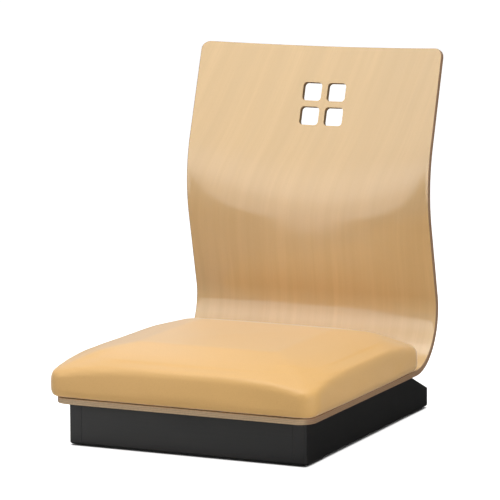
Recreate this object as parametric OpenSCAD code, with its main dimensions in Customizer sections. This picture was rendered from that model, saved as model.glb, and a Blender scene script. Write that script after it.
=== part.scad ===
// Low floor chair: one moulded plywood shell for seat and back, an upholstered seat pad
// and a shallow box base. Millimetres, Z up, the sitter faces -Y.

/* [Shell] */
// Width of the plywood seat and of the lower back
shell_w = 420; // [380:5:460]
// Thickness of the moulded plywood
shell_t = 9; // [7:0.5:12]
// Distance that each side of the back draws in towards its top
back_taper = 1.5; // [0:0.5:10]
// Flat length of the seat, from its front edge to the bend
seat_l = 417.5; // [395:0.5:450]
// Plan radius of the two front corners of the seat
seat_corner_r = 25; // [10:1:45]
// Radius of the bend from seat to back, at mid thickness
bend_r = 88; // [75:1:105]
// Angle turned by the bend, in degrees
bend_turn = 103.7; // [98:0.1:108]
// Straight length between the bend and the lumbar curve
hip_l = 116; // [95:1:135]
// Radius of the lumbar curve, at mid thickness
lumbar_r = 233; // [190:1:280]
// Angle turned back by the lumbar curve, in degrees
lumbar_turn = 31.7; // [25:0.1:36]
// Straight length above the lumbar curve
top_l = 157; // [140:1:185]
// Radius of the two top corners of the back
top_corner_r = 14; // [6:1:30]
// Depth of the hollow across the upper back
dish_depth = 39.5; // [10:0.5:50]
// Rise of the top edge in its middle, measured along the back
top_crown = 6.3; // [0:0.1:12]

/* [Hand grip holes] */
// Width of each square hole
hole_w = 32; // [20:1:36]
// Height of each square hole
hole_h = 30; // [20:1:34]
// Width of the bars between the holes
hole_bar = 10; // [7:0.5:16]
// Corner radius of each hole
hole_r = 6; // [2:0.5:9]
// Distance of the group's centre from the back's top corners, along the back
hole_drop = 89; // [70:1:105]

/* [Seat pad] */
// Distance that the pad bulges past each side of the shell
pad_side_out = 9; // [0:0.5:12]
// Distance that the pad bulges past the front edge of the shell
pad_front_out = 8; // [0:0.5:14]
// Distance that the pad's rear bulges past the start of the bend
pad_rear_out = 3.5; // [0:0.5:8]
// Height of the pad at its middle, above the shell
pad_h = 75; // [60:0.5:90]
// Plan radius of the pad's corners
pad_corner_r = 34; // [28:1:50]
// Share of its height that the pad loses at its corners
corner_sag = 0.44; // [0:0.01:0.5]
// Thickness of the cover
cover_t = 1; // [0.8:0.1:1.6]
// Width of the hem turned in under the pad board
hem_w = 28; // [18:1:40]
// Thickness of the pad board
pad_board_t = 9; // [7:0.5:12]
// Distance between the two columns of pad bolts
pad_bolt_x = 240; // [200:5:280]
// Distance between the two rows of pad bolts
pad_bolt_y = 120; // [90:5:150]

/* [Base] */
// Distance of the base's sides in from the sides of the shell
base_inset = 16; // [8:1:30]
// Distance that the shell stands out in front of the base
overhang = 24; // [10:1:40]
// Height of the base, floor to shell
base_h = 67; // [58:1:90]
// Height of the base at its rear, floor to the foot of the slope
base_rear_h = 31; // [28:1:40]
// Distance of the slope's head behind the start of the bend
slope_back = 2.5; // [0:0.5:12]
// Level length of the slope down to the rear
slope_l = 87; // [70:1:110]
// Thickness of the base boards
board_t = 21; // [18:0.5:25]
// Radius of the rounded outer edges of the boards
board_edge_r = 4; // [1:0.5:6]
// Thickness of the felt floor pads
felt_t = 2; // [1:0.5:4]

/* [Base joinery] */
// Thickness of the battens that carry the shell
batten_t = 20; // [18:0.5:25]
// Width of the battens
batten_w = 45; // [36:1:60]
// Distance of the front batten's centre from the front of the base
front_batten_y = 80; // [75:1:100]
// Distance of the rear batten's centre from the start of the bend
rear_batten_back = 73.5; // [60:0.5:100]
// Section of the square corner posts
post_w = 24; // [20:1:30]
// Diameter of the wooden dowels
dowel_d = 8; // [6:0.5:10]
// Length of the wooden dowels
dowel_l = 30; // [24:1:36]
// Distance from the middle bolt to each outer bolt on a batten
shell_bolt_x = 130; // [90:5:140]

/* [Fasteners] */
// Thread diameter of the bolts
bolt_d = 6; // [5:0.5:8]
// Head diameter of the bolts
bolt_head_d = 12; // [11:0.5:15]
// Thread diameter of the post screws
screw_d = 4; // [3:0.5:5]
// Head diameter of the post screws
screw_head_d = 8; // [7:0.5:10]
// Length of the post screws
screw_l = 36; // [30:1:38]

/* [Hidden] */
$fn = 48;

// Clearance between a fastener or dowel and its bore
fit_gap = 0.1;
// Clearance of a bolt in a plain hole
bolt_gap = 0.25;
// Clearance between soft parts and what they cover
soft_gap = 0.3;
// Free length past the end of a dowel or screw in its bore
end_gap = 0.5;
// Overrun of a cutting tool past a face
cut = 1;

// Small hardware
bolt_l = 20;
bolt_head_h = 3.3;
socket_r = 2.3;
socket_deep = 1.8;
washer_r = 9;
washer_t = 1.5;
nut_barrel_r = 4;
nut_barrel_l = 8;
nut_flange_r = 10;
nut_flange_t = 1.2;
insert_r = 4.9;
insert_l = 13;
screw_head_h = 2.4;

// Base details; the depths are measured down from the top of the board beside them
rear_edge_r = 5;
front_dowel_depths = [17, 47];
front_screw_depths = [17, 32];
rear_screw_depths = [18, 5];
batten_dowel_y = 12;
dowel_in_side = 14;
post_z = 5;
post_top_gap = 7;
felt_w = 15;
felt_l = 50;
felt_from_end = 40;

// Side line of the shell, at mid thickness: flat seat, bend, straight, lumbar curve, straight
bend_l = bend_r * bend_turn * PI / 180;
lumbar_l = lumbar_r * lumbar_turn * PI / 180;
s_bend = seat_l;
s_hip = s_bend + bend_l;
s_lumbar = s_hip + hip_l;
s_top = s_lumbar + lumbar_l;
s_end = s_top + top_l;
s_upright = s_bend + bend_l * 90 / bend_turn;
top_lean = bend_turn - lumbar_turn;

function direction(a) = [cos(a), sin(a)];
function square_to(a) = [-sin(a), cos(a)];

p_seat = [-overhang, base_h + shell_t / 2];
p_bend = p_seat + [seat_l, 0];
function bend_point(a) = p_bend + bend_r * [sin(a), 1 - cos(a)];
p_hip = bend_point(bend_turn);
p_lumbar = p_hip + hip_l * direction(bend_turn);
function lumbar_point(a) =
    p_lumbar + lumbar_r * [sin(bend_turn) - sin(a), cos(a) - cos(bend_turn)];
p_top = lumbar_point(top_lean);

// Direction of the side line at the distance s along it, in degrees above level
function heading(s) =
    s < s_bend ? 0
    : s < s_hip ? bend_turn * (s - s_bend) / bend_l
    : s < s_lumbar ? bend_turn
    : s < s_top ? bend_turn - lumbar_turn * (s - s_lumbar) / lumbar_l
    : top_lean;

function line_point(s) =
    s < s_bend ? p_seat + [s, 0]
    : s < s_hip ? bend_point(heading(s))
    : s < s_lumbar ? p_hip + (s - s_hip) * direction(bend_turn)
    : s < s_top ? lumbar_point(heading(s))
    : p_top + (s - s_top) * direction(top_lean);

// Hollow of the back: none at the upright of the bend, full from the end of the lumbar curve
function smooth(t) = t <= 0 ? 0 : t >= 1 ? 1 : t * t * (3 - 2 * t);
function dish(s) = dish_depth * smooth((s - s_upright) / (s_top - s_upright));

// Half of the shell's width at the distance s, with its corners left square
function side_x(s) =
    shell_w / 2 - back_taper * max(s - s_hip, 0) / (s_end - s_hip);

// Rows of the shell's surface, each as [distance along the side line, half width]
bend_steps = 13;
hip_steps = 6;
lumbar_steps = 8;
top_steps = 3;
corner_steps = 5;
columns = 20;
s_corner = s_end - top_corner_r;
function spread(from, to, n) = [for (k = [1:n]) from + (to - from) * k / n];
function corner_angles(first, last) = [for (k = [first:last]) 90 * k / corner_steps];
full_rows = concat(
    [seat_corner_r], spread(seat_corner_r, s_bend, 2), spread(s_bend, s_hip, bend_steps),
    spread(s_hip, s_lumbar, hip_steps), spread(s_lumbar, s_top, lumbar_steps),
    spread(s_top, s_corner, top_steps)
);
rows = concat(
    [for (a = corner_angles(0, corner_steps - 1))
        [seat_corner_r * (1 - cos(a)), shell_w / 2 - seat_corner_r * (1 - sin(a))]],
    [for (s = full_rows) [s, side_x(s)]],
    [for (a = corner_angles(1, corner_steps)) let (s = s_corner + top_corner_r * sin(a))
        [s, side_x(s) - top_corner_r * (1 - cos(a))]]
);

// Point of the shell's surface: side is 1 on the sitter's face and -1 on the other
function shell_point(row, u, side) =
    let (x = u * row[1], v = x / side_x(row[0]))
    let (s = row[0] + top_crown * (1 - v * v) * smooth((row[0] - s_top) / (s_end - s_top)))
    let (hollow = dish(s), slope = 2 * hollow * v / side_x(row[0]))
    let (off = side * shell_t / 2 * sqrt(1 + slope * slope) - hollow * (1 - v * v))
    let (p = line_point(s) + off * square_to(heading(s)))
    [x, p.x, p.y];

// Middle of the back's surface at the distance s, as [y, z]
function back_middle(s, side) =
    line_point(s) + (side * shell_t / 2 - dish(s)) * square_to(heading(s));

// Places in plan, with Y from the front of the base
seat_z = base_h + shell_t;
hem_top_z = seat_z + cover_t;
board_top_z = hem_top_z + pad_board_t;
base_w = shell_w - 2 * base_inset;
base_flat_l = p_bend.x + slope_back;
base_l = base_flat_l + slope_l;
rear_batten_y = p_bend.x - rear_batten_back;
inner_x = base_w / 2 - board_t;
pad_w = shell_w + 2 * pad_side_out;
pad_front_y = -overhang - pad_front_out;
pad_rear_y = p_bend.x + pad_rear_out;
pad_l = pad_rear_y - pad_front_y;
pad_mid_y = (pad_front_y + pad_rear_y) / 2;

// The origin lies midway between the chair's front and its rear
rear_reach = max(back_middle(s_end + top_crown, -1).x, base_l);
origin_y = (min(pad_front_y, -overhang) + rear_reach) / 2;

bolt_r = bolt_d / 2;
pad_bolt_mid_y = (front_batten_y + rear_batten_y) / 2;
pad_bolts = [for (x = [-1, 1], y = [-1, 1])
    [x * pad_bolt_x / 2, pad_bolt_mid_y + y * pad_bolt_y / 2]];
shell_bolt_places = [for (x = [-1, 0, 1], y = [front_batten_y, rear_batten_y])
    [x * shell_bolt_x, y]];

// Moves a piece from the workshop frame, whose Y starts at the base's front, to the origin
module placed() {
    translate([0, -origin_y, 0]) children();
}

// Outline with arcs in place of its corners; each corner is [x, y, radius]
function unit(v) = v / norm(v);
function corner_arc(before, at, after, r, n = 6) =
    r <= 0 ? [at]
    : let (u = unit(before - at), v = unit(after - at), half = acos(u * v) / 2)
      let (c = at + unit(u + v) * r / sin(half))
      let (from = at + u * r / tan(half) - c, to = at + v * r / tan(half) - c)
      let (start = atan2(from.y, from.x), turn = atan2(cross(from, to), from * to))
      [for (k = [0:n]) c + r * direction(start + turn * k / n)];
function flat(corner) = [corner.x, corner.y];
function rounded(corners) = [
    for (n = len(corners), i = 0; i < n; i = i + 1)
        each corner_arc(flat(corners[(i + n - 1) % n]), flat(corners[i]),
            flat(corners[(i + 1) % n]), corners[i].z)
];

// Solid of a profile drawn in Y and Z, from x1 to x2
module across(x1, x2) {
    translate([x1, 0, 0]) rotate([90, 0, 90]) linear_extrude(x2 - x1) children();
}

module rounded_rectangle(w, h, r) {
    square([w - 2 * r, h], center = true);
    square([w, h - 2 * r], center = true);
    for (x = [-1, 1], y = [-1, 1]) translate([x * (w / 2 - r), y * (h / 2 - r)]) circle(r);
}

// Shell

// Skin over a grid of points: two faces, [face][row][column], joined round their edges
module sheet(faces) {
    m = len(faces[0]);
    n = len(faces[0][0]);
    at = function (side, i, j) (side * m + i) * n + j;
    quads = concat(
        [for (i = [1:m - 1], j = [1:n - 1])
            [at(0, i - 1, j - 1), at(0, i, j - 1), at(0, i, j), at(0, i - 1, j)]],
        [for (i = [1:m - 1], j = [1:n - 1])
            [at(1, i - 1, j - 1), at(1, i - 1, j), at(1, i, j), at(1, i, j - 1)]],
        [for (i = [1:m - 1]) [at(0, i - 1, 0), at(1, i - 1, 0), at(1, i, 0), at(0, i, 0)]],
        [for (i = [1:m - 1]) [at(0, i - 1, n - 1), at(0, i, n - 1), at(1, i, n - 1), at(1, i - 1, n - 1)]],
        [for (j = [1:n - 1]) [at(0, 0, j - 1), at(0, 0, j), at(1, 0, j), at(1, 0, j - 1)]],
        [for (j = [1:n - 1]) [at(0, m - 1, j - 1), at(1, m - 1, j - 1), at(1, m - 1, j), at(0, m - 1, j)]]
    );
    points = [for (face = faces, row = face) each row];
    polyhedron(points, [for (q = quads) each [[q[0], q[1], q[2]], [q[0], q[2], q[3]]]]);
}

module hand_holes() {
    s_hole = s_end - hole_drop;
    middle = back_middle(s_hole, 0);
    reach = 3 * shell_t;
    translate([0, middle.x, middle.y]) rotate([heading(s_hole), 0, 0])
        for (x = [-1, 1], y = [-1, 1])
            translate([x * (hole_w + hole_bar) / 2, y * (hole_h + hole_bar) / 2, -reach])
                linear_extrude(2 * reach) rounded_rectangle(hole_w, hole_h, hole_r);
}

// Countersunk bolt hole through the seat, which the cone of the bolt's head fills
module bolt_sink() {
    head_r = bolt_head_d / 2;
    hole_r = bolt_r + bolt_gap;
    rotate_extrude() polygon([
        [0, base_h - cut], [hole_r, base_h - cut], [hole_r, seat_z - head_r + hole_r],
        [head_r, seat_z], [head_r, seat_z + cut], [0, seat_z + cut]
    ]);
}

module shell() {
    color([0.88, 0.76, 0.6]) placed() difference() {
        sheet([for (side = [1, -1]) [for (row = rows)
            [for (j = [0:columns]) shell_point(row, 2 * j / columns - 1, side)]]]);
        hand_holes();
        for (p = pad_bolts) translate([p.x, p.y, base_h - cut])
            cylinder(h = shell_t + 2 * cut, r = bolt_r + bolt_gap);
        for (p = shell_bolt_places) translate([p.x, p.y, 0]) bolt_sink();
    }
}

// Seat pad: rings round a rounded rectangle, drawn in and raised step by step

// Side of the pad from its bottom edge up: [inset from the fullest outline, share of height]
edge_inset = 8.5;
pad_side = [
    [edge_inset, 0.014], [5.6, 0.05], [2.2, 0.12], [0, 0.25], [0, 0.42], [0.5, 0.55],
    [2, 0.62], [6, 0.672], [14, 0.712], [32, 0.785], [62, 0.895], [105, 0.98]
];
foam_from_share = 0.1;
corner_n = 5;
side_n = 3;
least_corner_r = 10;

// Height above the seat for a share of the pad's height, with the sag towards the corners
function sag_at(x, y) = pow(abs(x * y) / (pad_w * pad_l / 4), 4);
function pad_height(share, x, y) =
    pad_h * share * (1 - corner_sag * sag_at(x, y) * smooth((share - 0.3) / 0.4));

// Rounded rectangle of half sizes a and b, always with the same count of points
function quarter(a, b, r) = concat(
    [for (k = [0:side_n - 1]) [a, (b - r) * k / side_n]],
    [for (k = [0:corner_n - 1]) [a - r, b - r] + r * direction(90 * k / corner_n)],
    [for (k = [0:side_n - 1]) [(a - r) * (1 - k / side_n), b]]
);
function turned(points, a) = [for (p = points)
    [p.x * cos(a) - p.y * sin(a), p.x * sin(a) + p.y * cos(a)]];
function ring_outline(a, b, r) = concat(
    quarter(a, b, r), turned(quarter(b, a, r), 90),
    turned(quarter(a, b, r), 180), turned(quarter(b, a, r), 270)
);
function pad_outline(d) =
    ring_outline(pad_w / 2 - d, pad_l / 2 - d, max(pad_corner_r - d, least_corner_r));

// Ring of the pad under a skin, and no lower than low_z
function pad_ring(step, skin, low_z) = [for (p = pad_outline(step[0] + skin))
    [p.x, pad_mid_y + p.y, max(seat_z + pad_height(step[1], p.x, p.y) - skin, low_z)]];
function level_ring(d, z) = [for (p = pad_outline(d)) [p.x, pad_mid_y + p.y, z]];
function pad_top(skin) = [0, pad_mid_y, seat_z + pad_h - skin];
function backwards(list) = [for (i = [len(list) - 1:-1:0]) list[i]];

// Solid through a list of rings, closed by a point at each end
module lofted(first, rings, last) {
    n = len(rings[0]);
    m = len(rings);
    at = function (i, j) 1 + i * n + j % n;
    polyhedron(concat([first], [for (ring = rings) each ring], [last]), concat(
        [for (j = [0:n - 1]) [0, at(0, j), at(0, j + 1)]],
        [for (i = [1:m - 1], j = [0:n - 1]) each [
            [at(i - 1, j), at(i, j), at(i, j + 1)],
            [at(i - 1, j), at(i, j + 1), at(i - 1, j + 1)]
        ]],
        [for (j = [0:n - 1]) [at(m - 1, j + 1), at(m - 1, j), m * n + 1]]
    ));
}

// One skin: down the inside, round the hem under the pad board and up the outside
module cushion_cover() {
    inside = [for (step = pad_side) pad_ring(step, cover_t, hem_top_z)];
    outside = [for (step = pad_side) pad_ring(step, 0, seat_z)];
    hem_inset = edge_inset + hem_w;
    hem = [
        level_ring(hem_inset, hem_top_z), level_ring(hem_inset, seat_z),
        level_ring(edge_inset + cover_t, seat_z)
    ];
    color([0.93, 0.78, 0.57]) placed()
        lofted(pad_top(cover_t), concat(backwards(inside), hem, outside), pad_top(0));
}

module cushion_foam() {
    skin = cover_t + soft_gap;
    steps = [for (step = pad_side) if (step[1] > foam_from_share) step];
    rings = [for (step = steps) pad_ring(step, skin, board_top_z)];
    color([0.9, 0.88, 0.8]) placed() difference() {
        lofted([0, pad_mid_y, board_top_z], rings, pad_top(skin));
        for (p = pad_bolts) translate([p.x, p.y, board_top_z - cut])
            cylinder(h = nut_flange_t + soft_gap + cut, r = nut_flange_r + soft_gap);
    }
}

module cushion_board() {
    d = edge_inset + cover_t + 2 * soft_gap;
    color([0.8, 0.68, 0.5]) placed() difference() {
        translate([0, pad_mid_y, hem_top_z]) linear_extrude(pad_board_t)
            rounded_rectangle(pad_w - 2 * d, pad_l - 2 * d, pad_corner_r - d);
        for (p = pad_bolts) translate([p.x, p.y, hem_top_z - cut])
            cylinder(h = pad_board_t + 2 * cut, r = nut_barrel_r + fit_gap);
    }
}

module tee_nuts() {
    color([0.7, 0.7, 0.68]) placed() for (p = pad_bolts) translate([p.x, p.y, 0])
        difference() {
            union() {
                translate([0, 0, board_top_z]) cylinder(h = nut_flange_t, r = nut_flange_r);
                translate([0, 0, board_top_z - nut_barrel_l])
                    cylinder(h = nut_barrel_l + nut_flange_t / 2, r = nut_barrel_r);
            }
            translate([0, 0, hem_top_z])
                cylinder(h = pad_board_t + nut_flange_t + cut, r = bolt_r + fit_gap);
        }
}

// Bolts from under the seat into the pad board, each with a hexagon socket in its head
module cushion_bolts() {
    head_z = base_h - washer_t;
    color([0.55, 0.55, 0.55]) placed() for (p = pad_bolts) translate([p.x, p.y, 0])
        difference() {
            union() {
                translate([0, 0, head_z]) cylinder(h = bolt_l, r = bolt_r);
                translate([0, 0, head_z - bolt_head_h])
                    cylinder(h = bolt_head_h, r = bolt_head_d / 2);
            }
            translate([0, 0, head_z - bolt_head_h - cut])
                cylinder(h = socket_deep + cut, r = socket_r, $fn = 6);
        }
}

module cushion_washers() {
    color([0.7, 0.7, 0.68]) placed() for (p = pad_bolts)
        translate([p.x, p.y, base_h - washer_t]) difference() {
            cylinder(h = washer_t, r = washer_r);
            translate([0, 0, -cut]) cylinder(h = washer_t + 2 * cut, r = bolt_r + bolt_gap);
        }
}

// Base

// Section of the base along its depth, in Y and Z
module base_section() {
    polygon(rounded([
        [0, felt_t, board_edge_r], [base_l, felt_t, board_edge_r],
        [base_l, base_rear_h, rear_edge_r], [base_flat_l, base_h, 0], [0, base_h, 0]
    ]));
}

// Dowel places on each side of the base, as [y, z]
dowel_places = concat(
    [for (depth = front_dowel_depths) [board_t / 2, base_h - depth]],
    [[base_l - board_t / 2, (felt_t + base_rear_h) / 2]],
    [for (y = [front_batten_y, rear_batten_y], k = [-1, 1])
        [y + k * batten_dowel_y, base_h - batten_t / 2]]
);
dowel_x = inner_x + dowel_in_side - dowel_l / 2;

// Cutter for the dowel holes of both ends of a board or batten, or of a side board
module dowel_holes() {
    for (x = [-1, 1], p = dowel_places) translate([x * dowel_x, p.x, p.y]) rotate([0, 90, 0])
        cylinder(h = dowel_l + 2 * end_gap, r = dowel_d / 2 + fit_gap, center = true);
}

// Pairs of posts: [y of the middle, top, height of the X screw, height of the Y screw, Y way]
post_x = inner_x - post_w / 2;
front_post = [
    board_t + post_w / 2, base_h - post_top_gap,
    base_h - front_screw_depths[0], base_h - front_screw_depths[1], -1
];
rear_post = [
    base_l - board_t - post_w / 2, base_rear_h,
    base_rear_h - rear_screw_depths[0], base_rear_h - rear_screw_depths[1], 1
];

// Pan head screw along +Z with its head below the origin
module screw() {
    cylinder(h = screw_l, r = screw_d / 2);
    translate([0, 0, -screw_head_h]) cylinder(h = screw_head_h, r = screw_head_d / 2);
}

// Puts its children at each screw of a pair of posts, with +Z along the screw
module at_screws(post) {
    for (x = [-1, 1]) {
        translate([x * (post_x - post_w / 2), post[0], post[2]]) rotate([0, x * 90, 0])
            children();
        translate([x * post_x, post[0] - post[4] * post_w / 2, post[3]])
            rotate([-post[4] * 90, 0, 0]) children();
    }
}

module screw_holes() {
    for (post = [front_post, rear_post]) at_screws(post)
        translate([0, 0, -cut]) cylinder(h = screw_l + cut + end_gap, r = screw_d / 2 + fit_gap);
}

module base_side() {
    outer_x = base_w / 2;
    r = board_edge_r;
    color([0.2, 0.2, 0.2]) placed() difference() {
        intersection() {
            across(inner_x, outer_x) base_section();
            linear_extrude(base_h) polygon(rounded([
                [inner_x, 0, 0], [outer_x, 0, r], [outer_x, base_l, r], [inner_x, base_l, 0]
            ]));
            translate([0, base_l, 0]) rotate([90, 0, 0]) linear_extrude(base_l)
                polygon(rounded([
                    [inner_x, felt_t, 0], [outer_x, felt_t, r], [outer_x, base_h, 0],
                    [inner_x, base_h, 0]
                ]));
        }
        dowel_holes();
        screw_holes();
    }
}

module base_side_right() {
    base_side();
}

module base_side_left() {
    mirror([1, 0, 0]) base_side();
}

// Board across the base, from y1 to y2
module cross_board(y1, y2) {
    color([0.22, 0.22, 0.22]) placed() difference() {
        intersection() {
            across(-inner_x, inner_x) base_section();
            translate([-inner_x, y1, 0]) cube([2 * inner_x, y2 - y1, base_h]);
        }
        dowel_holes();
        screw_holes();
    }
}

module base_front() {
    cross_board(0, board_t);
}

module base_rear() {
    cross_board(base_l - board_t, base_l);
}

module batten(y) {
    color([0.75, 0.62, 0.45]) placed() difference() {
        translate([-inner_x, y - batten_w / 2, base_h - batten_t])
            cube([2 * inner_x, batten_w, batten_t]);
        dowel_holes();
        for (x = [-1, 0, 1]) translate([x * shell_bolt_x, y, base_h - insert_l])
            cylinder(h = insert_l + cut, r = insert_r + fit_gap);
    }
}

module front_batten() {
    batten(front_batten_y);
}

module rear_batten() {
    batten(rear_batten_y);
}

module posts(post) {
    color([0.75, 0.62, 0.45]) placed() difference() {
        for (x = [-1, 1]) translate([x * post_x, post[0], (post_z + post[1]) / 2])
            cube([post_w, post_w, post[1] - post_z], center = true);
        screw_holes();
    }
}

module front_corner_posts() {
    posts(front_post);
}

module rear_corner_posts() {
    posts(rear_post);
}

module frame_dowels() {
    color([0.85, 0.72, 0.52]) placed() for (x = [-1, 1], p = dowel_places)
        translate([x * dowel_x, p.x, p.y]) rotate([0, 90, 0])
            cylinder(h = dowel_l, r = dowel_d / 2, center = true);
}

module post_screws() {
    color([0.6, 0.6, 0.58]) placed() for (post = [front_post, rear_post])
        at_screws(post) screw();
}

// Countersunk bolts through the seat, flush with its top under the pad
module shell_bolts() {
    head_r = bolt_head_d / 2;
    low_z = seat_z - bolt_l;
    color([0.55, 0.55, 0.55]) placed() for (p = shell_bolt_places) translate([p.x, p.y, 0])
        difference() {
            rotate_extrude() polygon([
                [0, low_z], [bolt_r, low_z], [bolt_r, seat_z - head_r + bolt_r],
                [head_r, seat_z], [0, seat_z]
            ]);
            translate([0, 0, seat_z - socket_deep])
                cylinder(h = socket_deep + cut, r = socket_r, $fn = 6);
        }
}

module batten_inserts() {
    color([0.8, 0.68, 0.4]) placed() for (p = shell_bolt_places)
        translate([p.x, p.y, base_h - insert_l]) difference() {
            cylinder(h = insert_l, r = insert_r);
            translate([0, 0, -cut]) cylinder(h = insert_l + 2 * cut, r = bolt_r + fit_gap);
        }
}

module felt_pads() {
    color([0.1, 0.1, 0.1]) placed()
        for (x = [-1, 1], y = [felt_from_end, base_l - felt_from_end])
            translate([x * (base_w - board_t) / 2, y, felt_t / 2])
                cube([felt_w, felt_l, felt_t], center = true);
}

shell();
cushion_cover();
cushion_foam();
cushion_board();
tee_nuts();
cushion_bolts();
cushion_washers();
base_side_left();
base_side_right();
base_front();
base_rear();
front_batten();
rear_batten();
front_corner_posts();
rear_corner_posts();
frame_dowels();
post_screws();
shell_bolts();
batten_inserts();
felt_pads();
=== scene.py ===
# Low floor chair: the looks of a bent plywood shell, an upholstered pad and a dark box base.
# The scene is in metres, the shape functions are in millimetres, Z is up, the sitter faces -Y.
import math

import bmesh
import bpy
import numpy as np
from mathutils import Matrix, Vector


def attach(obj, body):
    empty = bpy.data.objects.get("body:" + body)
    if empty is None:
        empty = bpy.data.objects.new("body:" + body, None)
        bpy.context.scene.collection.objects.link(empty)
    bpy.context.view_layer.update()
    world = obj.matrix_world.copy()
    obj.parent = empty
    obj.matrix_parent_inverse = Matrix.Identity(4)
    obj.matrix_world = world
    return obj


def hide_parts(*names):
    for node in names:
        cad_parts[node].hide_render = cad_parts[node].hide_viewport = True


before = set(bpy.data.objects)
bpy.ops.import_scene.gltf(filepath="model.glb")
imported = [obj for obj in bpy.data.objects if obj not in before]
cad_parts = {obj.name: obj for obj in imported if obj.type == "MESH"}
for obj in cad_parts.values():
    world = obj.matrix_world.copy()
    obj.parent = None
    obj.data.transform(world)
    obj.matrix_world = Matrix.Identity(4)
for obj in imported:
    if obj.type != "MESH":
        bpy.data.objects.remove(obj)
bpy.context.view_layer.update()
MM = 0.001

# ---------- Sizes in millimetres, named as in the part's source ----------
SHELL_W, SHELL_T, BACK_TAPER = 420.0, 9.0, 1.5
SEAT_L, SEAT_CORNER_R, TOP_CORNER_R = 417.5, 25.0, 14.0
BEND_R, BEND_TURN, HIP_L = 88.0, 103.7, 116.0
LUMBAR_R, LUMBAR_TURN, TOP_L = 233.0, 31.7, 157.0
DISH_DEPTH, TOP_CROWN = 39.5, 6.3
HOLE_W, HOLE_H, HOLE_BAR, HOLE_R, HOLE_DROP = 32.0, 30.0, 10.0, 6.0, 89.0
OVERHANG, BASE_INSET, BASE_H, BASE_REAR_H = 24.0, 16.0, 67.0, 31.0
SLOPE_BACK, SLOPE_L = 2.5, 87.0
BOARD_T, FELT_T, BOARD_EDGE_R, REAR_EDGE_R = 21.0, 2.0, 4.0, 5.0
PAD_SIDE_OUT, PAD_FRONT_OUT, PAD_REAR_OUT, PAD_H = 9.0, 8.0, 3.5, 75.0

# Distances along the middle of the sheet, from its front edge
S_BEND = SEAT_L
S_HIP = S_BEND + BEND_R * math.radians(BEND_TURN)
S_LUMBAR = S_HIP + HIP_L
S_TOP = S_LUMBAR + LUMBAR_R * math.radians(LUMBAR_TURN)
S_END = S_TOP + TOP_L
S_UPRIGHT = S_BEND + (S_HIP - S_BEND) * 90 / BEND_TURN
TOP_LEAN = BEND_TURN - LUMBAR_TURN


def direction(a):
    """Unit vector at an angle in degrees above level."""
    return np.array([math.cos(math.radians(a)), math.sin(math.radians(a))])


def square_to(a):
    return np.array([-math.sin(math.radians(a)), math.cos(math.radians(a))])


P_BEND = np.array([SEAT_L - OVERHANG, BASE_H + SHELL_T / 2])


def bend_point(a):
    a = math.radians(a)
    return P_BEND + BEND_R * np.array([math.sin(a), 1 - math.cos(a)])


P_HIP = bend_point(BEND_TURN)
P_LUMBAR = P_HIP + HIP_L * direction(BEND_TURN)


def lumbar_point(a):
    b, r = math.radians(BEND_TURN), math.radians(a)
    return P_LUMBAR + LUMBAR_R * np.array([math.sin(b) - math.sin(r), math.cos(r) - math.cos(b)])


P_TOP = lumbar_point(TOP_LEAN)


def heading(s):
    """Angle of the sheet's middle line above level, in degrees."""
    if s < S_BEND:
        return 0.0
    if s < S_HIP:
        return BEND_TURN * (s - S_BEND) / (S_HIP - S_BEND)
    if s < S_LUMBAR:
        return BEND_TURN
    if s < S_TOP:
        return BEND_TURN - LUMBAR_TURN * (s - S_LUMBAR) / (S_TOP - S_LUMBAR)
    return TOP_LEAN


def line_point(s):
    """Point of the sheet's middle line, as (y from the front of the base, z)."""
    if s < S_BEND:
        return P_BEND + np.array([s - S_BEND, 0.0])
    if s < S_HIP:
        return bend_point(heading(s))
    if s < S_LUMBAR:
        return P_HIP + (s - S_HIP) * direction(BEND_TURN)
    if s < S_TOP:
        return lumbar_point(heading(s))
    return P_TOP + (s - S_TOP) * direction(TOP_LEAN)


def smooth(t):
    t = min(max(t, 0.0), 1.0)
    return t * t * (3 - 2 * t)


def side_x(s):
    """Half width of the sheet."""
    return SHELL_W / 2 - BACK_TAPER * max(s - S_HIP, 0.0) / (S_END - S_HIP)


def hollow_at(s):
    """Depth of the hollow across the sheet."""
    return DISH_DEPTH * smooth((s - S_UPRIGHT) / (S_TOP - S_UPRIGHT))


REAR_REACH = (line_point(S_END + TOP_CROWN)
              - (SHELL_T / 2 + DISH_DEPTH) * square_to(TOP_LEAN))[0]
PAD_W = SHELL_W + 2 * PAD_SIDE_OUT
PAD_FRONT, PAD_REAR = -OVERHANG - PAD_FRONT_OUT, P_BEND[0] + PAD_REAR_OUT
PAD_L, PAD_MID = PAD_REAR - PAD_FRONT, (PAD_FRONT + PAD_REAR) / 2
ORIGIN_Y = (PAD_FRONT + REAR_REACH) / 2
SEAT_Z = BASE_H + SHELL_T
BASE_W = SHELL_W - 2 * BASE_INSET
BASE_FLAT_L = P_BEND[0] + SLOPE_BACK
BASE_L = BASE_FLAT_L + SLOPE_L
INNER_X = BASE_W / 2 - BOARD_T


def in_scene(x, y, z):
    """Point of the scene for millimetres, with y from the front of the base."""
    return (x * MM, (y - ORIGIN_Y) * MM, z * MM)


def shell_point(s, x, t):
    """Point of the sheet at the distance s, at x across it and t above its middle surface."""
    half = side_x(s)
    v = x / half
    s = s + TOP_CROWN * (1 - v * v) * smooth((s - S_TOP) / (S_END - S_TOP))
    hollow = hollow_at(s)
    slope = 2 * hollow * v / half
    rise = t * math.sqrt(1 + slope * slope) - hollow * (1 - v * v)
    return in_scene(x, *(line_point(s) + rise * square_to(heading(s))))


# ---------- Mesh helpers ----------
def new_object(name, mesh, materials):
    ob = bpy.data.objects.new(name, mesh)
    bpy.context.collection.objects.link(ob)
    for m in materials:
        mesh.materials.append(m)
    return ob


def mesh_from(bm, name):
    mesh = bpy.data.meshes.new(name)
    bm.to_mesh(mesh)
    bm.free()
    return mesh


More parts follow.
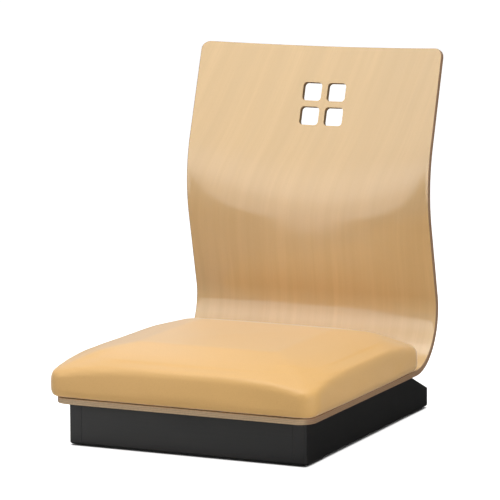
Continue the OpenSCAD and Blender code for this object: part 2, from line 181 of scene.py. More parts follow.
def applied(ob):
    """Applies the modifiers of an object to its mesh."""
    dg = bpy.context.evaluated_depsgraph_get()
    mesh = bpy.data.meshes.new_from_object(ob.evaluated_get(dg), preserve_all_data_layers=True,
                                           depsgraph=dg)
    ob.modifiers.clear()
    ob.data = mesh
    return mesh


def shade(mesh, angle):
    """Shades a mesh smooth, apart from edges that turn by more than the angle in degrees."""
    mesh.polygons.foreach_set("use_smooth", [True] * len(mesh.polygons))
    mesh.set_sharp_from_angle(angle=math.radians(angle))


def points_of(mesh):
    co = np.empty(len(mesh.vertices) * 3)
    mesh.vertices.foreach_get("co", co)
    return co.reshape(-1, 3)


def move_points(mesh, co):
    mesh.vertices.foreach_set("co", co.ravel())
    mesh.update()


def join_rings(bm, rings):
    """Faces between each ring of points and the next."""
    n = len(rings[0])
    for a, b in zip(rings, rings[1:]):
        for k in range(n):
            bm.faces.new((a[k], a[(k + 1) % n], b[(k + 1) % n], b[k]))


def close_ends(bm, rings):
    bm.faces.new(rings[0][::-1])
    bm.faces.new(rings[-1])


# ---------- Node helpers ----------
class Nodes:
    """Short calls for the nodes of a material or a world."""

    def __init__(self, owner):
        owner.use_nodes = True
        self.owner = owner
        self.tree = owner.node_tree
        self.bsdf = self.tree.nodes.get("Principled BSDF")

    def add(self, kind, **values):
        n = self.tree.nodes.new(kind)
        for k, v in values.items():
            setattr(n, k, v)
        return n

    def link(self, a, b):
        self.tree.links.new(a, b)

    def put(self, socket, value):
        """Links a socket, or sets its number or its colour, given as red, green and blue."""
        if isinstance(value, bpy.types.NodeSocket):
            self.link(value, socket)
        elif socket.type == "RGBA":
            socket.default_value = (*value, 1.0)
        else:
            socket.default_value = value

    def math(self, op, *values):
        n = self.add("ShaderNodeMath", operation=op)
        for socket, v in zip(n.inputs, values):
            self.put(socket, v)
        return n.outputs[0]

    def attribute(self, name):
        return self.add("ShaderNodeAttribute", attribute_name=name).outputs["Fac"]

    def vector(self, x, y, z):
        n = self.add("ShaderNodeCombineXYZ")
        for socket, v in zip(n.inputs, (x, y, z)):
            self.put(socket, v)
        return n.outputs[0]

    def place(self, kind="Object"):
        return self.add("ShaderNodeTexCoord").outputs[kind]

    def split(self, vector):
        n = self.add("ShaderNodeSeparateXYZ")
        self.link(vector, n.inputs[0])
        return n.outputs

    def dot(self, vector, way):
        n = self.add("ShaderNodeVectorMath", operation="DOT_PRODUCT")
        self.link(vector, n.inputs[0])
        n.inputs[1].default_value = way
        return n.outputs["Value"]

    def scaled(self, vector, *scale):
        """A vector times one scale, or times one for each axis."""
        n = self.add("ShaderNodeMapping")
        self.link(vector, n.inputs["Vector"])
        n.inputs["Scale"].default_value = scale if len(scale) == 3 else scale * 3
        return n.outputs[0]

    def noise(self, vector, detail, rough=0.5, warp=0.0, output="Fac"):
        n = self.add("ShaderNodeTexNoise")
        self.link(vector, n.inputs["Vector"])
        n.inputs["Scale"].default_value = 1.0
        n.inputs["Detail"].default_value = detail
        n.inputs["Roughness"].default_value = rough
        n.inputs["Distortion"].default_value = warp
        return n.outputs[output]

    def between(self, value, low, high, out_low=0.0, out_high=1.0):
        """Smooth step from out_low, where the value is low, to out_high, where it is high."""
        n = self.add("ShaderNodeMapRange", interpolation_type="SMOOTHSTEP", clamp=True)
        for socket, v in zip(n.inputs, (value, low, high, out_low, out_high)):
            self.put(socket, v)
        return n.outputs[0]

    def mix(self, factor, a, b, kind="MIX"):
        n = self.add("ShaderNodeMix", data_type="RGBA", blend_type=kind)
        self.put(n.inputs["Factor"], factor)
        for key, v in (("A", a), ("B", b)):
            self.put([i for i in n.inputs if i.name == key and i.type == "RGBA"][0], v)
        return [o for o in n.outputs if o.type == "RGBA"][0]

    def bump(self, height, strength, distance):
        n = self.add("ShaderNodeBump")
        n.inputs["Strength"].default_value = strength
        n.inputs["Distance"].default_value = distance
        self.link(height, n.inputs["Height"])
        return n.outputs[0]

    def pick(self, factor, a, b):
        """Shader a where the factor is 0, and b where it is 1."""
        n = self.add("ShaderNodeMixShader")
        for socket, v in zip(n.inputs, (factor, a, b)):
            self.link(v, socket)
        return n.outputs[0]

    def finish(self, color, rough, normal=None, **fixed):
        """Sets the material's shader; what is in fixed is set straight on its sockets."""
        self.put(self.bsdf.inputs["Base Color"], color)
        self.put(self.bsdf.inputs["Roughness"], rough)
        if normal is not None:
            self.link(normal, self.bsdf.inputs["Normal"])
        for k, v in fixed.items():
            self.bsdf.inputs[k.replace("_", " ")].default_value = v
        return self.owner


def new_nodes(name):
    return Nodes(bpy.data.materials.new(name))


def shift(color, k):
    return tuple(min(c * k, 1.0) for c in color)


def tinted(color, green, blue, k):
    """Colour with its green and blue changed by shares, then darkened to the share k."""
    return shift((color[0], color[1] * green, color[2] * blue), k)


def grey(v):
    return (v, v, v)


# ---------- Materials; scales are in waves a metre, bump distances in metres ----------
VENEER = (0.715, 0.492, 0.238)
LEATHER = (0.865, 0.517, 0.184)
PAINT, WORN_PAINT = (0.0114, 0.0113, 0.0111), (0.03, 0.029, 0.028)
GRAIN_LEAN, LEAN_FROM_S = 0.30, 0.70
# The last of these darkens the sheet's side edges: painted shade.
PLY_T, PLY_WAVE, SIDE_EDGE_PAINTED_SHADE = 0.00129, 0.0006, (0.60, 0.51, 0.48)
PEBBLE_SCALE, PEBBLE_WARP_SCALE, PEBBLE_WARP = 820.0, 700.0, 0.0006


def veneer():
    """Beech whose grain runs up the back: broad tones, streaks, fine grain and flecks."""
    m = new_nodes("beech_veneer")
    x, s = m.attribute("sheet_x"), m.attribute("sheet_s")
    # The grain leans to one side towards the top, where the streaks also fade
    lean = m.math("MULTIPLY", m.between(s, 0.60, 0.85), GRAIN_LEAN)
    drift = m.math("MULTIPLY", m.math("SUBTRACT", s, LEAN_FROM_S), lean)
    grid = m.vector(m.math("SUBTRACT", x, drift), s, 0.0)
    broad = m.noise(m.scaled(grid, 26.0, 1.3, 1.0), 2.0, warp=0.25)
    streak = m.noise(m.scaled(grid, 75.0, 2.4, 1.0), 3.0, rough=0.55)
    fine = m.noise(m.scaled(grid, 900.0, 14.0, 1.0), 2.0)
    fleck = m.noise(m.scaled(grid, 1400.0, 260.0, 1.0), 1.0, rough=0.4)
    figure = m.math("MULTIPLY", m.between(streak, 0.38, 0.66, 0.0, 0.68),
                    m.between(s, 0.60, 0.80, 1.0, 0.6))
    color = m.mix(m.between(broad, 0.32, 0.68), shift(VENEER, 0.955), shift(VENEER, 1.025))
    color = m.mix(figure, color, tinted(VENEER, 0.985, 0.95, 0.93))
    color = m.mix(m.between(fine, 0.38, 0.72, 0.0, 0.36), color, shift(VENEER, 0.92))
    color = m.mix(m.between(fleck, 0.62, 0.74, 0.0, 0.25), color,
                  tinted(VENEER, 0.93, 0.85, 0.82))
    height = m.math("ADD", m.math("MULTIPLY", fine, 0.7), m.math("MULTIPLY", fleck, 0.3))
    return m.finish(color, m.between(streak, 0.3, 0.7, 0.42, 0.50), m.bump(height, 0.04, 0.0004),
                    Specular_IOR_Level=0.2, Coat_Weight=1.0, Coat_Roughness=0.12)


def ply_edge(name, tone, contrast):
    """Cut edge of the plywood: seven layers, every second one showing its end grain, with painted
    shade on the sheet's side edges.
    """
    m = new_nodes(name)
    x, s, t = m.attribute("sheet_x"), m.attribute("sheet_s"), m.attribute("layer")
    sheet_place = m.vector(x, s, t)
    wave = m.noise(m.scaled(m.vector(x, s, 0.0), 9.0, 9.0, 1.0), 2.0)
    wave = m.math("MULTIPLY", m.math("SUBTRACT", wave, 0.5), PLY_WAVE)
    turn = m.math("MULTIPLY", m.math("ADD", t, wave), math.pi / PLY_T)
    layer = m.math("COSINE", turn)
    ply = m.between(layer, -0.35, 0.35)
    grain = m.noise(m.scaled(sheet_place, 500.0, 500.0, 160.0), 2.0)
    speck = m.noise(m.scaled(sheet_place, 1900.0), 1.0)
    glue = m.math("SUBTRACT", 1.0, m.math("ABSOLUTE", layer))
    # The sheet's side edges, which are painted darker: painted shade.
    side = m.between(m.math("ABSOLUTE", x), 0.195, 0.206)
    color = m.mix(ply, shift(tone, 1.0 - contrast), shift(tone, 1.0 + contrast))
    for factor, tint in ((side, SIDE_EDGE_PAINTED_SHADE),
                         (m.between(grain, 0.35, 0.75, 0.0, 0.55), grey(0.82)),
                         (m.between(speck, 0.58, 0.72, 0.0, 0.5), grey(0.62)),
                         (m.between(glue, 0.86, 0.99, 0.0, 0.5), grey(0.5))):
        color = m.mix(factor, color, tint, "MULTIPLY")
    height = m.math("ADD", grain, m.math("MULTIPLY", ply, 0.5))
    return m.finish(color, 0.62, m.bump(height, 0.2, 0.0002))


def pad_leather():
    """Smooth synthetic leather with a fine pebble and a faint sheen."""
    m = new_nodes("pad_synthetic_leather")
    p = m.place()
    drift = m.noise(m.scaled(p, 7.0, 7.0, 9.0), 2.0)
    # A noise bends the cells out of their even shape
    bent = m.add("ShaderNodeVectorMath", operation="MULTIPLY_ADD")
    m.link(m.noise(m.scaled(p, PEBBLE_WARP_SCALE), 2.0, output="Color"), bent.inputs[0])
    bent.inputs[1].default_value = grey(PEBBLE_WARP)
    m.link(p, bent.inputs[2])
    pebble = m.add("ShaderNodeTexVoronoi", feature="SMOOTH_F1")
    m.link(bent.outputs[0], pebble.inputs["Vector"])
    pebble.inputs["Scale"].default_value = PEBBLE_SCALE
    pebble.inputs["Smoothness"].default_value = 0.6
    valley = pebble.outputs["Distance"]
    pores = m.noise(m.scaled(p, 2600.0), 1.0)
    color = m.mix(m.between(drift, 0.3, 0.7), shift(LEATHER, 0.985), shift(LEATHER, 1.01))
    color = m.mix(m.between(valley, 0.35, 0.8, 0.0, 0.35), color,
                  tinted(LEATHER, 0.97, 0.92, 0.9))
    height = m.math("ADD", m.math("MULTIPLY", valley, -1.0), m.math("MULTIPLY", pores, 0.25))
    return m.finish(color, m.between(drift, 0.3, 0.7, 0.46, 0.52), m.bump(height, 0.16, 0.00018),
                    Sheen_Weight=0.75, Sheen_Roughness=0.31, Specular_IOR_Level=0.1,
                    Coat_Weight=0.55, Coat_Roughness=0.47)


def base_paint():
    """Dark stain over wood: faint grain and pores, and edges that are worn paler."""
    m = new_nodes("dark_stained_base")
    p = m.place()
    run = m.noise(m.scaled(p, 14.0, 14.0, 420.0), 3.0, rough=0.6)
    pore = m.noise(m.scaled(p, 160.0, 160.0, 2200.0), 1.0)
    cloud = m.noise(m.scaled(p, 9.0), 2.0)
    edge = m.add("ShaderNodeNewGeometry").outputs["Pointiness"]
    color = m.mix(m.between(run, 0.3, 0.75), shift(PAINT, 0.88), shift(PAINT, 1.14))
    color = m.mix(m.between(pore, 0.58, 0.75, 0.0, 0.5), color, shift(PAINT, 0.6))
    color = m.mix(m.between(edge, 0.53, 0.60, 0.0, 0.45), color, WORN_PAINT)
    height = m.math("ADD", run, m.math("MULTIPLY", pore, 0.4))
    return m.finish(color, m.between(cloud, 0.3, 0.7, 0.44, 0.52), m.bump(height, 0.10, 0.0004),
                    Specular_IOR_Level=0.8)


def plain_wood(name, base, along):
    """Sawn wood whose grain runs along an axis: 0, 1 or 2."""
    m = new_nodes(name)
    p = m.place()
    rings, hairs = [56.0] * 3, [900.0] * 3
    rings[along], hairs[along] = 2.1, 30.0
    ring = m.noise(m.scaled(p, *rings), 4.0, rough=0.55, warp=0.4)
    hair = m.noise(m.scaled(p, *hairs), 2.0)
    color = m.mix(m.between(ring, 0.3, 0.7), shift(base, 0.84), shift(base, 1.08))
    color = m.mix(m.between(hair, 0.4, 0.75, 0.0, 0.5), color, shift(base, 0.7))
    return m.finish(color, 0.6, m.bump(m.math("ADD", ring, hair), 0.15, 0.0003))


def metal(name, base, rough):
    """Plated metal with faint mottling and brush marks."""
    m = new_nodes(name)
    p = m.place()
    mottle = m.noise(m.scaled(p, 420.0), 3.0)
    brush = m.noise(m.scaled(p, 2400.0, 2400.0, 300.0), 1.0)
    color = m.mix(m.between(mottle, 0.3, 0.7), shift(base, 0.9), shift(base, 1.05))
    return m.finish(color, m.between(mottle, 0.3, 0.7, rough - 0.06, rough + 0.08),
                    m.bump(brush, 0.08, 0.0001), Metallic=1.0)


def felt():
    m = new_nodes("black_felt")
    fibre = m.noise(m.scaled(m.place(), 1500.0), 4.0, rough=0.7, warp=1.0)
    color = m.mix(m.between(fibre, 0.3, 0.7), grey(0.008), (0.035, 0.034, 0.033))
    return m.finish(color, 0.95, m.bump(fibre, 0.6, 0.0006), Sheen_Weight=0.3)


MAT_VENEER = veneer()
MAT_EDGE = ply_edge("plywood_edge", (0.66, 0.47, 0.28), 0.10)
# The hole walls are the plywood edge in a much darker tone: painted shade inside the holes.
MAT_HOLE_WALL_PAINTED_SHADE = ply_edge("hole_wall_painted_shade", (0.30, 0.185, 0.085), 0.06)
MAT_PAD = pad_leather()
MAT_BASE = base_paint()

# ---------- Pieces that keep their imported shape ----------
for names, material in (
    (("front_batten", "rear_batten", "frame_dowels"),
     plain_wood("pine_batten", (0.61, 0.43, 0.23), 0)),
    (("front_corner_posts", "rear_corner_posts"), plain_wood("pine_post", (0.60, 0.42, 0.22), 2)),
    (("cushion_board",), plain_wood("pad_board_ply", (0.52, 0.36, 0.19), 0)),
    (("tee_nuts", "cushion_bolts", "cushion_washers", "post_screws", "shell_bolts"),
     metal("zinc_plated_steel", (0.56, 0.56, 0.53), 0.36)),
    (("batten_inserts",), metal("brass_insert", (0.62, 0.44, 0.18), 0.32)),
    (("felt_pads",), felt()),
):
    for name in names:
        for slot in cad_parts[name].material_slots:
            slot.material = material


# ---------- Plywood shell ----------
RIM_R, RIM_STEPS, WALL_STEPS = 1.1, 3, 5
COLUMNS = 72
SEAT_CORNER_STEPS, TOP_CORNER_STEPS = 10, 8
# Runs of the sheet between its corners, as (from, to, rows)
RUNS = (
    (SEAT_CORNER_R, S_BEND, 40), (S_BEND, S_HIP, 44), (S_HIP, S_LUMBAR, 18), (S_LUMBAR, S_TOP, 26),
    (S_TOP, S_END - TOP_CORNER_R, 24),
)
HOLE_CORNER_STEPS = 7
HOLE_DEPTHS = (-20.0, -4.5, -1.5, 1.5, 4.5, 20.0)
CORNERS = ((1, 1), (-1, 1), (-1, -1), (1, -1))


def sheet_rows(inset):
    """Rows of the sheet drawn in by an inset, each as (distance along the sheet, half width)."""
    seat_r, top_r = SEAT_CORNER_R - inset, TOP_CORNER_R - inset
    rows = []
    for k in range(SEAT_CORNER_STEPS):
        a = math.radians(90 * k / SEAT_CORNER_STEPS)
        s = inset + seat_r * (1 - math.cos(a))
        rows.append((s, side_x(s) - inset - seat_r * (1 - math.sin(a))))
    full = [SEAT_CORNER_R]
    for start, end, n in RUNS:
        full += [start + (end - start) * k / n for k in range(1, n + 1)]
    rows += [(s, side_x(s) - inset) for s in full]
    for k in range(1, TOP_CORNER_STEPS + 1):
        a = math.radians(90 * k / TOP_CORNER_STEPS)
        s = S_END - TOP_CORNER_R + top_r * math.sin(a)
        rows.append((s, side_x(s) - inset - top_r * (1 - math.cos(a))))
    return rows


def edge_profile():
    """Edge of the sheet from its upper to its lower face, as (height, inset)."""
    half_t = SHELL_T / 2
    rim = []
    for k in range(RIM_STEPS + 1):
        a = math.radians(90 * k / RIM_STEPS)
        rim.append((RIM_R * (1 - math.cos(a)), RIM_R * (1 - math.sin(a))))
    upper = [(half_t - drop, inset) for drop, inset in rim]
    wall = [(half_t - RIM_R - (SHELL_T - 2 * RIM_R) * k / WALL_STEPS, 0.0)
            for k in range(1, WALL_STEPS + 1)]
    lower = [(-half_t + drop, inset) for drop, inset in rim[-2::-1]]
    return upper + wall + lower


def outline_order(m):
    """Outline of a sheet of m rows, as (row, column) pairs in order."""
    order = [(0, j) for j in range(COLUMNS + 1)] + [(i, COLUMNS) for i in range(1, m)]
    order += [(m - 1, j) for j in range(COLUMNS - 1, -1, -1)]
    return order + [(i, 0) for i in range(m - 2, 0, -1)]


def sheet_mesh():
    """The sheet without its holes; each point keeps its own x, s and t in metres."""
    verts, facts, faces, face_kind = [], [], [], []

    def put(row, j, t):
        s, half = row
        x = (2 * j / COLUMNS - 1) * half
        verts.append(shell_point(s, x, t))
        facts.append((x * MM, s * MM, t * MM))
        return len(verts) - 1

    profile = edge_profile()
    upper, lower = [
        [[put(row, j, t) for j in range(COLUMNS + 1)] for row in sheet_rows(inset)]
        for t, inset in (profile[0], profile[-1])
    ]
    for grid, way in ((upper, 1), (lower, -1)):
        for a, b in zip(grid, grid[1:]):
            for j in range(COLUMNS):
                faces.append((a[j], a[j + 1], b[j + 1], b[j])[::way])
                face_kind.append(0)
    order = outline_order(len(upper))
    loops = [[upper[i][j] for i, j in order]]
    for t, inset in profile[1:-1]:
        rows = sheet_rows(inset)
        loops.append([put(rows[i], j, t) for i, j in order])
    loops.append([lower[i][j] for i, j in order])
    n = len(order)
    for a, b in zip(loops, loops[1:]):
        for j in range(n):
            k = (j + 1) % n
            faces.append((a[k], a[j], b[j], b[k]))
            face_kind.append(1)
    mesh = bpy.data.meshes.new("plywood_shell")
    mesh.from_pydata(verts, [], faces)
    for i, name in enumerate(("sheet_x", "sheet_s", "layer")):
        values = [f[i] for f in facts]
        mesh.attributes.new(name, "FLOAT", "POINT").data.foreach_set("value", values)
    mesh.polygons.foreach_set("material_index", face_kind)
    return mesh


def hole_cutter():
    """Four rounded prisms square to the back, which cut its hand holes."""
    bm = bmesh.new()
    layer = bm.verts.layers.float.new("layer")
    middle = line_point(S_END - HOLE_DROP) - DISH_DEPTH * square_to(TOP_LEAN)
    up, out = direction(TOP_LEAN), square_to(TOP_LEAN)
    for column in (-1, 1):
        for row in (-1, 1):
            rings = []
            for d in HOLE_DEPTHS:
                ring = []
                for q, (side, end) in enumerate(CORNERS):
                    for k in range(HOLE_CORNER_STEPS + 1):
                        a = math.radians(90 * q + 90 * k / HOLE_CORNER_STEPS)
                        x = (column * (HOLE_W + HOLE_BAR) / 2 + side * (HOLE_W / 2 - HOLE_R)
                             + HOLE_R * math.cos(a))
                        z = (row * (HOLE_H + HOLE_BAR) / 2 + end * (HOLE_H / 2 - HOLE_R)
                             + HOLE_R * math.sin(a))
                        v = bm.verts.new(in_scene(x, *(middle + z * up + d * out)))
                        v[layer] = d * MM
                        ring.append(v)
                rings.append(ring)
            join_rings(bm, rings)
            close_ends(bm, rings)
    bmesh.ops.recalc_face_normals(bm, faces=bm.faces)
    return new_object("hole_cutter", mesh_from(bm, "hole_cutter"), (MAT_HOLE_WALL_PAINTED_SHADE,))


def make_shell():
    ob = new_object("plywood_shell", sheet_mesh(), (MAT_VENEER, MAT_EDGE, MAT_HOLE_WALL_PAINTED_SHADE))
    cutter = hole_cutter()
    mod = ob.modifiers.new("holes", "BOOLEAN")
    mod.operation, mod.solver, mod.object = "DIFFERENCE", "EXACT", cutter
    mod.material_mode = "TRANSFER"
    mesh = applied(ob)
    bpy.data.objects.remove(cutter)
    shade(mesh, 40.0)
    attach(ob, "root")
    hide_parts("shell")


make_shell()

# ---------- Seat pad ----------
# Side of the pad from its bottom edge up: (inset from the fullest outline, share of height)
PAD_SIDE = [
    (8.5, 0.014), (4.6, 0.05), (1.2, 0.12), (0.0, 0.22), (0.0, 0.39), (0.6, 0.56),
    (2.1, 0.67), (6.6, 0.734), (17.5, 0.768), (34.0, 0.812), (62.0, 0.89), (105.0, 0.98),
]
UNDERSIDE_INSETS = (30.0, 11.0)
CORNER_SAG = 0.42
# Plan radius of the corners, how much it loses for each millimetre of inset, and its least value
PAD_CORNER_R, CORNER_TIGHTENING, LEAST_CORNER_R = 27.0, 1.9, 10.0
PROFILE_STEPS, SIDE_STEPS, CORNER_STEPS = 3, 16, 10
# How far the cover lies outside its profile, and the heights of its underside above the seat
# while it is made and where it settles
PAD_GROW, PAD_FOOT, PAD_GAP = 0.2, 0.6, 0.3
# Cloth: pressure, greatest swelling in metres, height below which it is pinned, and frames
PRESSURE, SWELL_CAP, PIN_H, CLOTH_FRAMES = 2.0, 0.0025, 4.0, 20


def rounded_outline(a, b, r):
    """Rounded rectangle of half sizes a and b, always with the same count of points."""
    pts = []
    for q in range(4):
        w, h = (a, b) if q % 2 == 0 else (b, a)
        part = [(w, (h - r) * k / SIDE_STEPS) for k in range(SIDE_STEPS)]
        part += [(w - r + r * math.cos(t), h - r + r * math.sin(t))
                 for t in [math.radians(90 * k / CORNER_STEPS) for k in range(CORNER_STEPS)]]
        part += [((w - r) * (1 - k / SIDE_STEPS), h) for k in range(SIDE_STEPS)]
        c, s = ((1, 0), (0, 1), (-1, 0), (0, -1))[q]
        pts += [(x * c - y * s, x * s + y * c) for x, y in part]
    return pts


def pad_height(share, x, y):
    """Height above the seat for a share of the pad's height, with the sag at the corners."""
    sag = (abs(x * y) / (PAD_W * PAD_L / 4)) ** 4
    return PAD_H * share * (1 - CORNER_SAG * sag * smooth((share - 0.3) / 0.4))


def spline(points, n):
    """Smooth run through a profile's points, n steps between each pair."""
    pts = [np.array(p) for p in points]
    pts = [2 * pts[0] - pts[1]] + pts + [2 * pts[-1] - pts[-2]]
    out = []
    for i in range(1, len(pts) - 2):
        p0, p1, p2, p3 = pts[i - 1:i + 3]
        for k in range(n):
            t = k / n
            out.append(0.5 * (2 * p1 + (p2 - p0) * t + (2 * p0 - 5 * p1 + 4 * p2 - p3) * t * t
                              + (3 * p1 - p0 - 3 * p2 + p3) * t ** 3))
    return out + [pts[-2]]


def pad_mesh():
    """The pad before it swells: rings from under it to near its top, closed by two points."""
    bm = bmesh.new()
    rings = []
    for inset, share in [(d, 0.0) for d in UNDERSIDE_INSETS] + spline(PAD_SIDE, PROFILE_STEPS):
        d = inset - PAD_GROW
        r = max(PAD_CORNER_R - CORNER_TIGHTENING * d, LEAST_CORNER_R)
        ring = []
        for x, y in rounded_outline(PAD_W / 2 - d, PAD_L / 2 - d, r):
            z = max(pad_height(share, x, y) + PAD_GROW, PAD_FOOT)
            ring.append(bm.verts.new(in_scene(x, PAD_MID + y, SEAT_Z + z)))
        rings.append(ring)
    join_rings(bm, rings)
    low = bm.verts.new(in_scene(0, PAD_MID, SEAT_Z + PAD_FOOT))
    top = bm.verts.new(in_scene(0, PAD_MID, SEAT_Z + PAD_H + PAD_GROW))
    n = len(rings[0])
    for k in range(n):
        bm.faces.new((rings[0][(k + 1) % n], rings[0][k], low))
        bm.faces.new((rings[-1][k], rings[-1][(k + 1) % n], top))
    return mesh_from(bm, "seat_pad")


def even_out(mesh, values, rounds):
    """Averages a value at each point with those of its neighbours, round after round."""
    edges = np.empty(len(mesh.edges) * 2, dtype=np.int64)
    mesh.edges.foreach_get("vertices", edges)
    a, b = edges.reshape(-1, 2).T
    count = np.bincount(a, minlength=len(values)) + np.bincount(b, minlength=len(values))
    for _ in range(rounds):
        total = np.zeros_like(values)
        np.add.at(total, a, values[b])
        np.add.at(total, b, values[a])
        values = 0.5 * values + 0.5 * total / np.maximum(count, 1)[:, None]
    return values


def inflate(ob):
    """Swells the pad as taut cloth, with no point going further than the cap."""
    mod = ob.modifiers.new("even", "REMESH")
    mod.mode, mod.voxel_size = "VOXEL", 0.005
    start = points_of(applied(ob))
    pins = ob.vertex_groups.new(name="pins")
    pinned = np.nonzero(start[:, 2] < (SEAT_Z + PIN_H) * MM)[0]
    pins.add([int(i) for i in pinned], 1.0, "REPLACE")
    cloth = ob.modifiers.new("cloth", "CLOTH")
    cloth.settings.use_pressure = True
    cloth.settings.uniform_pressure_force = PRESSURE
    cloth.settings.vertex_group_mass = "pins"
    cloth.settings.tension_stiffness = cloth.settings.compression_stiffness = 30.0
    cloth.settings.bending_stiffness = 2.0
    cloth.settings.effector_weights.gravity = 0.0
    cloth.collision_settings.use_self_collision = False
    scene = bpy.context.scene
    for f in range(1, CLOTH_FRAMES + 1):
        scene.frame_set(f)
    swollen = ob.evaluated_get(bpy.context.evaluated_depsgraph_get())
    move = even_out(ob.data, points_of(swollen.to_mesh()) - start, rounds=40)
    size = np.linalg.norm(move, axis=1, keepdims=True)
    move *= SWELL_CAP / np.maximum(size, SWELL_CAP)
    ob.modifiers.clear()
    move_points(ob.data, start + move)
    scene.frame_set(1)


def settle(mesh):
    """Flattens the underside of the pad just above the seat."""
    co = points_of(mesh)
    co[:, 2] = np.maximum(co[:, 2], (SEAT_Z + PAD_GAP) * MM)
    move_points(mesh, co)


def make_pad():
    ob = new_object("seat_pad", pad_mesh(), (MAT_PAD,))
    inflate(ob)
    mod = ob.modifiers.new("finer", "SUBSURF")
    mod.levels = mod.render_levels = 1
    mesh = applied(ob)
    settle(mesh)
    shade(mesh, 180.0)
    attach(ob, "root")
    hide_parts("cushion_cover", "cushion_foam")


make_pad()

# ---------- Base boards ----------
# Rounding of the boards' inner edges, and the radius for which an edge has a bevel weight of 1
SMALL_R, FULL_BEVEL_R = 0.5, 5.0


def near(a, b):
    return abs(a - b) < 0.01


def edge_radius(a, b, outer_x):
    """Radius of a board's edge from a to b; outer_x is the x of the board's outer face."""
    outer = outer_x is not None and near(a[0], outer_x) and near(b[0], outer_x)
    along_x = near(a[1], b[1]) and near(a[2], b[2])
    if along_x and near(a[2], FELT_T) and (near(a[1], 0) or near(a[1], BASE_L)):
        return BOARD_EDGE_R
    if along_x and near(a[2], BASE_REAR_H) and near(a[1], BASE_L):
        return REAR_EDGE_R
    if outer and near(a[1], b[1]):
        return BOARD_EDGE_R
    if outer and near(a[2], FELT_T) and near(b[2], FELT_T):
        return BOARD_EDGE_R
    return SMALL_R


def board(name, cad_node, profile, x1, x2, outer_x=None):
    """Board with a profile in Y and Z, from x1 to x2, with rounded edges."""
    bm = bmesh.new()
    ends = [[bm.verts.new(in_scene(x, y, z)) for y, z in profile] for x in (x1, x2)]
    join_rings(bm, ends)
    close_ends(bm, ends)
    bmesh.ops.recalc_face_normals(bm, faces=bm.faces)
    weight = bm.edges.layers.float.new("bevel_weight_edge")
    for e in bm.edges:
        a, b = [(v.co.x / MM, v.co.y / MM + ORIGIN_Y, v.co.z / MM) for v in e.verts]
        e[weight] = edge_radius(a, b, outer_x) / FULL_BEVEL_R
    ob = new_object(name, mesh_from(bm, name), (MAT_BASE,))
    mod = ob.modifiers.new("edges", "BEVEL")
    mod.limit_method, mod.width, mod.segments = "WEIGHT", FULL_BEVEL_R * MM, 5
    mod.use_clamp_overlap = True
    shade(applied(ob), 30.0)
    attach(ob, "root")
    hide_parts(cad_node)


SIDE_PROFILE = [
    (0.0, FELT_T), (BASE_L, FELT_T), (BASE_L, BASE_REAR_H), (BASE_FLAT_L, BASE_H), (0.0, BASE_H),
]
FRONT_PROFILE = [(0.0, FELT_T), (BOARD_T, FELT_T), (BOARD_T, BASE_H), (0.0, BASE_H)]
# Height of the slope at the inner face of the rear board
REAR_INNER_H = BASE_REAR_H + BOARD_T * (BASE_H - BASE_REAR_H) / (BASE_L - BASE_FLAT_L)
REAR_PROFILE = [
    (BASE_L - BOARD_T, FELT_T), (BASE_L, FELT_T), (BASE_L, BASE_REAR_H),
    (BASE_L - BOARD_T, REAR_INNER_H),
]
OUTER_X = BASE_W / 2
board("base_board_right", "base_side_right", SIDE_PROFILE, INNER_X, OUTER_X, OUTER_X)
board("base_board_left", "base_side_left", SIDE_PROFILE, -OUTER_X, -INNER_X, -OUTER_X)
board("base_board_front", "base_front", FRONT_PROFILE, -INNER_X, INNER_X)
board("base_board_rear", "base_rear", REAR_PROFILE, -INNER_X, INNER_X)

# ---------- Floor, camera and light ----------
# The last of these is the reach of the floor's painted contact shadow.
FLOOR_HALF, FLOOR_COLOR, FLOOR_GLOW, CONTACT_SHADOW_REACH = 30.0, grey(0.65), 0.87, 0.005
# Fitted camera: focal length and width of the photograph in pixels, place with y from the front
# of the base, and its backward and rightward directions
FOCAL_PX, PHOTO_W, SENSOR_W = 3027.4, 500, 36.0
CAMERA_PLACE = (1.9124, -3.9311, 0.9588)
CAMERA_BACK, CAMERA_RIGHT = (0.4131, -0.8987, 0.1475), (0.9088, 0.4173, -0.0031)
LIGHT_AIM = (0.0, 0.0, 0.15)
SIDE_WATTS, TOP_WATTS, CARD_GLOW = 20.8, 72.0, 2.4
SKY_LOW, SKY_HIGH, SKY_REAR, SKY_SEEN = 0.67, 0.156, 2.4, 1.05
# Level directions, to the right of the view and straight away from the camera
RIGHTWARD, STRAIGHT_BEHIND = (0.8, 0.6, 0.0), (-0.41, 0.91, 0.0)
# Outline of the bright card, as (x, z), and its y
CARD = [
    (0.60, 1.10), (0.25, 0.72), (0.05, 0.50), (-0.05, 0.38), (-0.12, 0.28), (-0.18, 0.19),
    (-0.25, 0.12), (-0.32, 0.11), (-0.40, 0.12), (-0.53, 0.175), (-0.70, 0.29), (-0.87, 0.44),
    (-1.2, 0.65), (-1.7, 0.95), (-2.2, 1.25), (-2.2, 1.9), (0.60, 1.9),
]
CARD_Y = -0.5


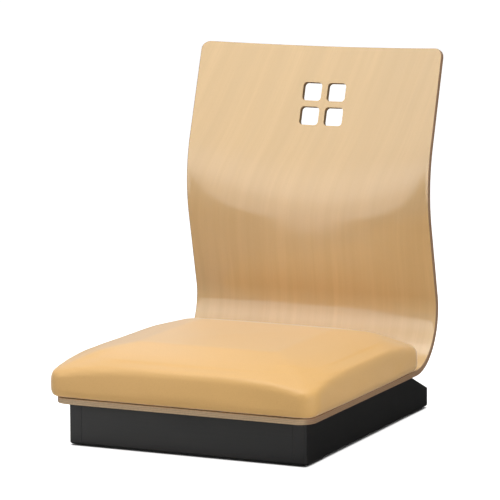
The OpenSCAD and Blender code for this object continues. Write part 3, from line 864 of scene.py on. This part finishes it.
def make_floor():
    """Pale floor: it glows for the camera, with its glow dimmed near the chair as a painted
    contact shadow, and is mirrored darker at the right.
    """
    h = FLOOR_HALF
    mesh = bpy.data.meshes.new("floor")
    mesh.from_pydata([(-h, -h, 0), (h, -h, 0), (h, h, 0), (-h, h, 0)], [], [(0, 1, 2, 3)])
    m = new_nodes("pale_floor")
    ray = m.add("ShaderNodeLightPath").outputs
    right = m.between(m.dot(m.place(), RIGHTWARD), -0.15, 0.08)
    mirrored = m.mix(right, grey(0.44), grey(0.02))
    m.finish(m.mix(ray["Is Glossy Ray"], FLOOR_COLOR, mirrored), 0.8)
    # Occlusion within a short reach dims the glow near the chair: a painted contact shadow.
    contact_shadow = m.add("ShaderNodeAmbientOcclusion", samples=12)
    contact_shadow.inputs["Distance"].default_value = CONTACT_SHADOW_REACH
    glow = m.add("ShaderNodeEmission")
    m.link(m.between(contact_shadow.outputs["AO"], 0.35, 0.95, 0.0, FLOOR_GLOW), glow.inputs["Strength"])
    both = m.add("ShaderNodeAddShader")
    m.link(m.bsdf.outputs[0], both.inputs[0])
    m.link(glow.outputs[0], both.inputs[1])
    m.link(m.pick(ray["Is Camera Ray"], m.bsdf.outputs[0], both.outputs[0]),
           m.tree.nodes["Material Output"].inputs["Surface"])
    new_object("floor", mesh, (m.owner,))


def make_camera():
    data = bpy.data.cameras.new("camera")
    data.sensor_width = SENSOR_W
    data.lens = FOCAL_PX / PHOTO_W * SENSOR_W
    data.clip_start, data.clip_end = 0.1, 100.0
    ob = bpy.data.objects.new("camera", data)
    bpy.context.collection.objects.link(ob)
    back = Vector(CAMERA_BACK).normalized()
    right = Vector(CAMERA_RIGHT)
    right = (right - back * right.dot(back)).normalized()
    turn = Matrix((right, back.cross(right), back)).transposed().to_4x4()
    x, y, z = CAMERA_PLACE
    ob.matrix_world = Matrix.Translation((x, y - ORIGIN_Y * MM, z)) @ turn
    bpy.context.scene.camera = ob


def softbox(name, place, w, h, watts):
    light = bpy.data.lights.new(name, "AREA")
    light.shape, light.size, light.size_y = "RECTANGLE", w, h
    light.energy = watts
    ob = bpy.data.objects.new(name, light)
    bpy.context.collection.objects.link(ob)
    ob.location = place
    ob.rotation_euler = (Vector(LIGHT_AIM) - Vector(place)).to_track_quat("-Z", "Y").to_euler()
    ob.visible_camera = False


def make_card():
    """Bright card in front of the chair; only mirrored rays see it, in varnish and coat."""
    mesh = bpy.data.meshes.new("card")
    mesh.from_pydata([(x, CARD_Y, z) for x, z in CARD], [], [tuple(range(len(CARD)))])
    m = new_nodes("bright_card")
    height = m.split(m.place())[2]
    level = m.math("ADD", m.between(height, 0.10, 0.155, 0.2, 1.1),
                   m.between(height, 0.28, 0.42, 0.0, 0.45))
    level = m.math("SUBTRACT", level, m.between(height, 0.50, 0.80, 0.0, 0.5))
    shine = m.add("ShaderNodeEmission")
    m.link(m.math("MULTIPLY", level, CARD_GLOW), shine.inputs["Strength"])
    m.link(shine.outputs[0], m.tree.nodes["Material Output"].inputs["Surface"])
    ob = new_object("card", mesh, (m.owner,))
    ob.visible_camera = ob.visible_diffuse = ob.visible_shadow = False


def make_world():
    """Sky: bright at the horizon, dim at the right, glowing behind, and plain to the camera."""
    world = bpy.data.worlds.new("studio")
    bpy.context.scene.world = world
    m = Nodes(world)
    way = m.place("Generated")
    height = m.split(way)[2]
    sky = m.between(height, 0.0, 0.5, SKY_LOW, SKY_HIGH)
    dimming = m.between(m.dot(way, RIGHTWARD), 0.0, 0.8, 1.0, 0.15)
    glow = m.between(m.dot(way, STRAIGHT_BEHIND), 0.6, 0.95, 0.0, SKY_REAR)
    raised = m.between(height, 0.25, 0.5)
    lit = m.tree.nodes["Background"]
    seen = m.add("ShaderNodeBackground")
    for node in (lit, seen):
        m.put(node.inputs["Color"], grey(1.0))
    m.link(m.math("MULTIPLY_ADD", glow, raised, m.math("MULTIPLY", sky, dimming)),
           lit.inputs["Strength"])
    seen.inputs["Strength"].default_value = SKY_SEEN
    ray = m.add("ShaderNodeLightPath").outputs
    m.link(m.pick(ray["Is Camera Ray"], lit.outputs[0], seen.outputs[0]),
           m.tree.nodes["World Output"].inputs["Surface"])


make_floor()
make_camera()
softbox("side", (2.8, -0.8, 0.7), 1.8, 1.2, SIDE_WATTS)
softbox("top", (-0.1, -0.4, 2.8), 2.6, 2.2, TOP_WATTS)
make_card()
make_world()

view = bpy.context.scene.view_settings
view.view_transform, view.look, view.exposure, view.gamma = "Standard", "None", 0.0, 1.0
